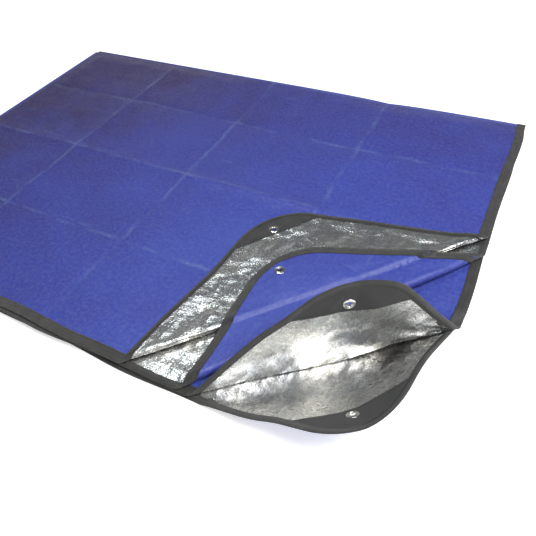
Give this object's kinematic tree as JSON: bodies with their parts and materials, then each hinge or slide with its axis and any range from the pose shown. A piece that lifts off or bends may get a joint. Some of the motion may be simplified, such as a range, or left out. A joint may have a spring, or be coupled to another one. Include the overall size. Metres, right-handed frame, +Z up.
{
  "type": "folding reflective blanket",
  "caption": "Reinforced reflective blanket folded in quarters: blue film outside, silver film inside, bound edges, and the bound corners turned up to show patches and eyelets.",
  "frame": {"origin": "centre of the folded blanket's plan, on the surface it lies on", "axes": "+X along the folded blanket's long side, towards the turned corners; +Y across it, towards the back fold; +Z up"},
  "size_m": [1.0682, 0.7634, 0.147],
  "materials": {
    "blue_film": "satin woven and coated",
    "silver_film": "metallised, pebbled, glossy",
    "charcoal_tape": "matt woven tape",
    "black_patch": "matt woven",
    "nickel": "bright nickel plate"
  },
  "bodies": {
    "lower_pair": {"layer3_panel": "blue_film", "layer3_front_binding": "charcoal_tape", "layer3_side_binding": "charcoal_tape", "layer4_panel": "blue_film", "layer4_front_binding": "charcoal_tape", "layer4_side_binding": "charcoal_tape", "lower_left_fold": "blue_film", "lower_left_fold_binding": "charcoal_tape", "outer_back_fold_lower": "blue_film", "outer_back_fold_binding_lower": "charcoal_tape", "inner_back_fold_lower": "blue_film", "inner_back_fold_binding_lower": "charcoal_tape"},
    "upper_pair": {"layer1_panel": "blue_film", "layer1_front_binding": "charcoal_tape", "layer1_side_binding": "charcoal_tape", "layer2_panel": "blue_film", "layer2_front_binding": "charcoal_tape", "layer2_side_binding": "charcoal_tape", "upper_left_fold": "blue_film", "upper_left_fold_binding": "charcoal_tape", "outer_back_fold_upper": "blue_film", "outer_back_fold_binding_upper": "charcoal_tape", "inner_back_fold_upper": "blue_film", "inner_back_fold_binding_upper": "charcoal_tape"},
    "corner_1": {"layer1_corner": "silver_film", "layer1_corner_binding": "charcoal_tape", "layer1_patch": "black_patch", "layer1_eyelet": "nickel", "layer1_washer": "nickel"},
    "corner_2": {"layer2_corner": "silver_film", "layer2_corner_binding": "charcoal_tape", "layer2_patch": "black_patch", "layer2_eyelet": "nickel", "layer2_washer": "nickel"},
    "corner_3": {"layer3_corner": "silver_film", "layer3_corner_binding": "charcoal_tape", "layer3_patch": "black_patch", "layer3_eyelet": "nickel", "layer3_washer": "nickel"},
    "corner_4": {"layer4_corner": "silver_film", "layer4_corner_binding": "charcoal_tape", "layer4_patch": "black_patch", "layer4_eyelet": "nickel", "layer4_washer": "nickel"}
  },
  "joints": [
    {"name": "back_fold", "type": "hinge", "parent": "lower_pair", "child": "upper_pair", "pos_m": [0, 0.3813, 0.0066], "axis": [-1, 0, 0], "range_deg": [0, 180]},
    {"name": "corner_1_crease", "type": "hinge", "parent": "upper_pair", "child": "corner_1", "pos_m": [0.1585, -0.381, 0.0144], "axis": [0.6913, 0.7226, 0], "range_deg": [0, 154]},
    {"name": "corner_2_crease", "type": "hinge", "parent": "upper_pair", "child": "corner_2", "pos_m": [0.2435, -0.381, 0.0154], "axis": [0.6221, 0.783, 0], "range_deg": [0, 155]},
    {"name": "corner_3_crease", "type": "hinge", "parent": "lower_pair", "child": "corner_3", "pos_m": [0.2585, -0.381, 0.0065], "axis": [0.7643, 0.6448, 0], "range_deg": [0, 74]},
    {"name": "corner_4_crease", "type": "hinge", "parent": "lower_pair", "child": "corner_4", "pos_m": [0.2735, -0.381, 0.0029], "axis": [0.7605, 0.6493, 0], "range_deg": [0, 30]}
  ],
  "couplings": [
    {"joint": "corner_2_crease", "follows": "corner_1_crease", "ratio": 1.0065},
    {"joint": "corner_3_crease", "follows": "corner_1_crease", "ratio": 0.48052},
    {"joint": "corner_4_crease", "follows": "corner_1_crease", "ratio": 0.19481}
  ]
}
